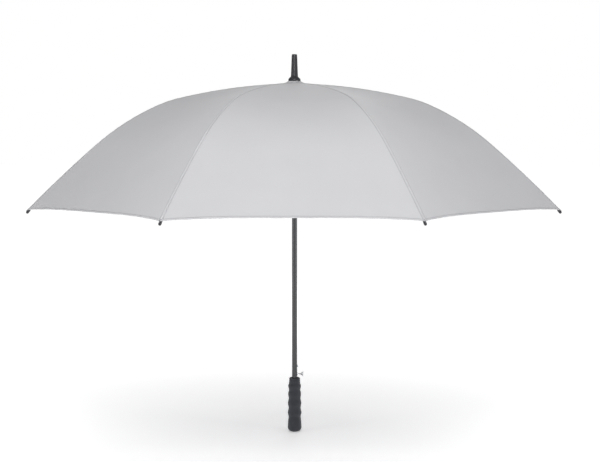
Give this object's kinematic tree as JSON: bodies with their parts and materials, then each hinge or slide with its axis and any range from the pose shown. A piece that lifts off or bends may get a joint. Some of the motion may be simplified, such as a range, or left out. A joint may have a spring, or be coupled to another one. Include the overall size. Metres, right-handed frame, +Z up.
{
  "type": "golf umbrella",
  "caption": "Open stick umbrella: domed cloth canopy on eight jointed ribs, sliding runner with drive spring, push-button catch and foam grip.",
  "frame": {"origin": "centre of the grip's butt end", "axes": "+Z up the shaft towards the ferrule, +X towards the push button, +Y completing the right-handed frame"},
  "size_m": [1.246, 1.246, 0.9875],
  "materials": {
    "canopy_cloth": "plain-woven light grey pongee, slight sheen",
    "black_plastic": "moulded black nylon",
    "black_glassfibre": "pultruded black glass-fibre rod",
    "black_tube": "gloss black coated steel tube",
    "steel": "zinc plated steel",
    "chrome": "bright chrome",
    "grip_foam": "closed-cell black foam"
  },
  "bodies": {
    "shaft": {"shaft_tube": "black_tube", "ferrule": "black_plastic", "top_cap": "black_plastic", "top_notch": "black_plastic", "notch_wire": "steel", "runner_stop": "black_plastic", "spring_seat": "steel", "button_guide": "chrome", "handle_core": "black_plastic", "handle_grip": "grip_foam", "lever_pin": "steel", "drive_spring": "steel", "catch_spring": "steel", "canopy": "canopy_cloth"},
    "runner": {"runner": "black_plastic", "runner_wire": "steel", "drive_pin": "steel", "drive_plunger": "black_plastic"},
    "push_button": {"push_button": "chrome"},
    "catch_lever": {"catch_lever": "steel"},
    "rib_inner_1": {"rib_inner_1": "black_glassfibre", "rib_bracket_1": "steel"},
    "rib_outer_1": {"rib_outer_1": "black_glassfibre", "rib_tip_1": "black_plastic"},
    "stretcher_1": {"stretcher_1": "black_glassfibre"},
    "rib_inner_2": {"rib_inner_2": "black_glassfibre", "rib_bracket_2": "steel"},
    "rib_outer_2": {"rib_outer_2": "black_glassfibre", "rib_tip_2": "black_plastic"},
    "stretcher_2": {"stretcher_2": "black_glassfibre"},
    "rib_inner_3": {"rib_inner_3": "black_glassfibre", "rib_bracket_3": "steel"},
    "rib_outer_3": {"rib_outer_3": "black_glassfibre", "rib_tip_3": "black_plastic"},
    "stretcher_3": {"stretcher_3": "black_glassfibre"},
    "rib_inner_4": {"rib_inner_4": "black_glassfibre", "rib_bracket_4": "steel"},
    "rib_outer_4": {"rib_outer_4": "black_glassfibre", "rib_tip_4": "black_plastic"},
    "stretcher_4": {"stretcher_4": "black_glassfibre"},
    "rib_inner_5": {"rib_inner_5": "black_glassfibre", "rib_bracket_5": "steel"},
    "rib_outer_5": {"rib_outer_5": "black_glassfibre", "rib_tip_5": "black_plastic"},
    "stretcher_5": {"stretcher_5": "black_glassfibre"},
    "rib_inner_6": {"rib_inner_6": "black_glassfibre", "rib_bracket_6": "steel"},
    "rib_outer_6": {"rib_outer_6": "black_glassfibre", "rib_tip_6": "black_plastic"},
    "stretcher_6": {"stretcher_6": "black_glassfibre"},
    "rib_inner_7": {"rib_inner_7": "black_glassfibre", "rib_bracket_7": "steel"},
    "rib_outer_7": {"rib_outer_7": "black_glassfibre", "rib_tip_7": "black_plastic"},
    "stretcher_7": {"stretcher_7": "black_glassfibre"},
    "rib_inner_8": {"rib_inner_8": "black_glassfibre", "rib_bracket_8": "steel"},
    "rib_outer_8": {"rib_outer_8": "black_glassfibre", "rib_tip_8": "black_plastic"},
    "stretcher_8": {"stretcher_8": "black_glassfibre"}
  },
  "joints": [
    {"name": "rib_1_fold", "type": "hinge", "parent": "shaft", "child": "rib_inner_1", "pos_m": [0.01016, 0.00421, 0.9085], "axis": [-0.3827, 0.9239, 0], "range_deg": [0, 76.5], "stiffness_Nm_per_rad": 0.6, "springref_deg": -143.24, "deforming": ["canopy"]},
    {"name": "rib_1_knee", "type": "hinge", "parent": "rib_inner_1", "child": "rib_outer_1", "pos_m": [0.30616, 0.12682, 0.85791], "axis": [-0.3827, 0.9239, 0], "range_deg": [-24.6, 0]},
    {"name": "stretcher_1_swing", "type": "hinge", "parent": "rib_inner_1", "child": "stretcher_1", "pos_m": [0.29437, 0.12193, 0.84891], "axis": [-0.3827, 0.9239, 0], "range_deg": [-153, 0], "stiffness_Nm_per_rad": 0.2, "springref_deg": 114.59},
    {"name": "rib_2_fold", "type": "hinge", "parent": "shaft", "child": "rib_inner_2", "pos_m": [0.00421, 0.01016, 0.9085], "axis": [-0.9239, 0.3827, 0], "range_deg": [0, 76.5], "stiffness_Nm_per_rad": 0.6, "springref_deg": -143.24},
    {"name": "rib_2_knee", "type": "hinge", "parent": "rib_inner_2", "child": "rib_outer_2", "pos_m": [0.12682, 0.30616, 0.85791], "axis": [-0.9239, 0.3827, 0], "range_deg": [-24.6, 0]},
    {"name": "stretcher_2_swing", "type": "hinge", "parent": "rib_inner_2", "child": "stretcher_2", "pos_m": [0.12193, 0.29437, 0.84891], "axis": [-0.9239, 0.3827, 0], "range_deg": [-153, 0], "stiffness_Nm_per_rad": 0.2, "springref_deg": 114.59},
    {"name": "rib_3_fold", "type": "hinge", "parent": "shaft", "child": "rib_inner_3", "pos_m": [-0.00421, 0.01016, 0.9085], "axis": [-0.9239, -0.3827, 0], "range_deg": [0, 76.5], "stiffness_Nm_per_rad": 0.6, "springref_deg": -143.24},
    {"name": "rib_3_knee", "type": "hinge", "parent": "rib_inner_3", "child": "rib_outer_3", "pos_m": [-0.12682, 0.30616, 0.85791], "axis": [-0.9239, -0.3827, 0], "range_deg": [-24.6, 0]},
    {"name": "stretcher_3_swing", "type": "hinge", "parent": "rib_inner_3", "child": "stretcher_3", "pos_m": [-0.12193, 0.29437, 0.84891], "axis": [-0.9239, -0.3827, 0], "range_deg": [-153, 0], "stiffness_Nm_per_rad": 0.2, "springref_deg": 114.59},
    {"name": "rib_4_fold", "type": "hinge", "parent": "shaft", "child": "rib_inner_4", "pos_m": [-0.01016, 0.00421, 0.9085], "axis": [-0.3827, -0.9239, 0], "range_deg": [0, 76.5], "stiffness_Nm_per_rad": 0.6, "springref_deg": -143.24},
    {"name": "rib_4_knee", "type": "hinge", "parent": "rib_inner_4", "child": "rib_outer_4", "pos_m": [-0.30616, 0.12682, 0.85791], "axis": [-0.3827, -0.9239, 0], "range_deg": [-24.6, 0]},
    {"name": "stretcher_4_swing", "type": "hinge", "parent": "rib_inner_4", "child": "stretcher_4", "pos_m": [-0.29437, 0.12193, 0.84891], "axis": [-0.3827, -0.9239, 0], "range_deg": [-153, 0], "stiffness_Nm_per_rad": 0.2, "springref_deg": 114.59},
    {"name": "rib_5_fold", "type": "hinge", "parent": "shaft", "child": "rib_inner_5", "pos_m": [-0.01016, -0.00421, 0.9085], "axis": [0.3827, -0.9239, 0], "range_deg": [0, 76.5], "stiffness_Nm_per_rad": 0.6, "springref_deg": -143.24},
    {"name": "rib_5_knee", "type": "hinge", "parent": "rib_inner_5", "child": "rib_outer_5", "pos_m": [-0.30616, -0.12682, 0.85791], "axis": [0.3827, -0.9239, 0], "range_deg": [-24.6, 0]},
    {"name": "stretcher_5_swing", "type": "hinge", "parent": "rib_inner_5", "child": "stretcher_5", "pos_m": [-0.29437, -0.12193, 0.84891], "axis": [0.3827, -0.9239, 0], "range_deg": [-153, 0], "stiffness_Nm_per_rad": 0.2, "springref_deg": 114.59},
    {"name": "rib_6_fold", "type": "hinge", "parent": "shaft", "child": "rib_inner_6", "pos_m": [-0.00421, -0.01016, 0.9085], "axis": [0.9239, -0.3827, 0], "range_deg": [0, 76.5], "stiffness_Nm_per_rad": 0.6, "springref_deg": -143.24},
    {"name": "rib_6_knee", "type": "hinge", "parent": "rib_inner_6", "child": "rib_outer_6", "pos_m": [-0.12682, -0.30616, 0.85791], "axis": [0.9239, -0.3827, 0], "range_deg": [-24.6, 0]},
    {"name": "stretcher_6_swing", "type": "hinge", "parent": "rib_inner_6", "child": "stretcher_6", "pos_m": [-0.12193, -0.29437, 0.84891], "axis": [0.9239, -0.3827, 0], "range_deg": [-153, 0], "stiffness_Nm_per_rad": 0.2, "springref_deg": 114.59},
    {"name": "rib_7_fold", "type": "hinge", "parent": "shaft", "child": "rib_inner_7", "pos_m": [0.00421, -0.01016, 0.9085], "axis": [0.9239, 0.3827, 0], "range_deg": [0, 76.5], "stiffness_Nm_per_rad": 0.6, "springref_deg": -143.24},
    {"name": "rib_7_knee", "type": "hinge", "parent": "rib_inner_7", "child": "rib_outer_7", "pos_m": [0.12682, -0.30616, 0.85791], "axis": [0.9239, 0.3827, 0], "range_deg": [-24.6, 0]},
    {"name": "stretcher_7_swing", "type": "hinge", "parent": "rib_inner_7", "child": "stretcher_7", "pos_m": [0.12193, -0.29437, 0.84891], "axis": [0.9239, 0.3827, 0], "range_deg": [-153, 0], "stiffness_Nm_per_rad": 0.2, "springref_deg": 114.59},
    {"name": "rib_8_fold", "type": "hinge", "parent": "shaft", "child": "rib_inner_8", "pos_m": [0.01016, -0.00421, 0.9085], "axis": [0.3827, 0.9239, 0], "range_deg": [0, 76.5], "stiffness_Nm_per_rad": 0.6, "springref_deg": -143.24},
    {"name": "rib_8_knee", "type": "hinge", "parent": "rib_inner_8", "child": "rib_outer_8", "pos_m": [0.30616, -0.12682, 0.85791], "axis": [0.3827, 0.9239, 0], "range_deg": [-24.6, 0]},
    {"name": "stretcher_8_swing", "type": "hinge", "parent": "rib_inner_8", "child": "stretcher_8", "pos_m": [0.29437, -0.12193, 0.84891], "axis": [0.3827, 0.9239, 0], "range_deg": [-153, 0], "stiffness_Nm_per_rad": 0.2, "springref_deg": 114.59},
    {"name": "runner_pivot", "type": "hinge", "parent": "stretcher_1", "child": "runner", "pos_m": [0.01016, 0.00421, 0.78932], "axis": [-0.3827, 0.9239, 0], "range_deg": [0, 76.5], "deforming": ["drive_spring"]},
    {"name": "button_press", "type": "slide", "parent": "shaft", "child": "push_button", "axis": [-1, 0, 0], "range_m": [0, 0.0018], "stiffness_N_per_m": 400, "springref_m": -0.002},
    {"name": "catch_swing", "type": "hinge", "parent": "shaft", "child": "catch_lever", "pos_m": [0, 0, 0.126], "axis": [0, -1, 0], "range_deg": [0, 3.8], "stiffness_Nm_per_rad": 0.3, "springref_deg": -5.73, "deforming": ["catch_spring"]}
  ],
  "couplings": [
    {"joint": "rib_1_knee", "follows": "rib_1_fold", "ratio": -0.32026},
    {"joint": "stretcher_1_swing", "follows": "rib_1_fold", "ratio": -2},
    {"joint": "rib_2_fold", "follows": "rib_1_fold", "ratio": 1},
    {"joint": "rib_2_knee", "follows": "rib_1_fold", "ratio": -0.32026},
    {"joint": "stretcher_2_swing", "follows": "rib_1_fold", "ratio": -2},
    {"joint": "rib_3_fold", "follows": "rib_1_fold", "ratio": 1},
    {"joint": "rib_3_knee", "follows": "rib_1_fold", "ratio": -0.32026},
    {"joint": "stretcher_3_swing", "follows": "rib_1_fold", "ratio": -2},
    {"joint": "rib_4_fold", "follows": "rib_1_fold", "ratio": 1},
    {"joint": "rib_4_knee", "follows": "rib_1_fold", "ratio": -0.32026},
    {"joint": "stretcher_4_swing", "follows": "rib_1_fold", "ratio": -2},
    {"joint": "rib_5_fold", "follows": "rib_1_fold", "ratio": 1},
    {"joint": "rib_5_knee", "follows": "rib_1_fold", "ratio": -0.32026},
    {"joint": "stretcher_5_swing", "follows": "rib_1_fold", "ratio": -2},
    {"joint": "rib_6_fold", "follows": "rib_1_fold", "ratio": 1},
    {"joint": "rib_6_knee", "follows": "rib_1_fold", "ratio": -0.32026},
    {"joint": "stretcher_6_swing", "follows": "rib_1_fold", "ratio": -2},
    {"joint": "rib_7_fold", "follows": "rib_1_fold", "ratio": 1},
    {"joint": "rib_7_knee", "follows": "rib_1_fold", "ratio": -0.32026},
    {"joint": "stretcher_7_swing", "follows": "rib_1_fold", "ratio": -2},
    {"joint": "rib_8_fold", "follows": "rib_1_fold", "ratio": 1},
    {"joint": "rib_8_knee", "follows": "rib_1_fold", "ratio": -0.32026},
    {"joint": "stretcher_8_swing", "follows": "rib_1_fold", "ratio": -2},
    {"joint": "runner_pivot", "follows": "rib_1_fold", "ratio": 1},
    {"joint": "catch_swing", "follows": "button_press", "rad_per_m": 36.232}
  ]
}
